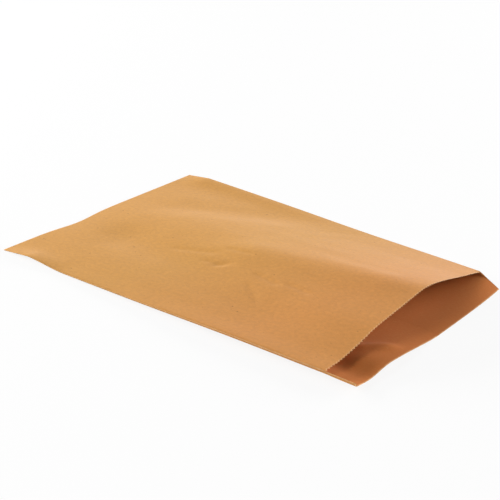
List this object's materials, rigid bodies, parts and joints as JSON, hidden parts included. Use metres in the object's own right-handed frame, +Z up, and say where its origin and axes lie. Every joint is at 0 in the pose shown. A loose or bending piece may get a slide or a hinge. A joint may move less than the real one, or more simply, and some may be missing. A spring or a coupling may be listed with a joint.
{
  "type": "flat paper bag",
  "caption": "Flat brown kraft paper merchandise bag, lying with its sawtooth-cut mouth a little open, a plain lip, a back seam and a glued bottom flap.",
  "frame": {"origin": "middle of the bag's footprint, on the surface it lies on", "axes": "+X along the bag from the closed end to the mouth, +Y from the near side fold to the far one, +Z up"},
  "size_m": [0.2818, 0.216, 0.0244],
  "materials": {
    "kraft_paper": "matt unbleached brown kraft paper with faint fibres"
  },
  "bodies": {
    "root": {"paper_bag": "kraft_paper"}
  },
  "joints": []
}
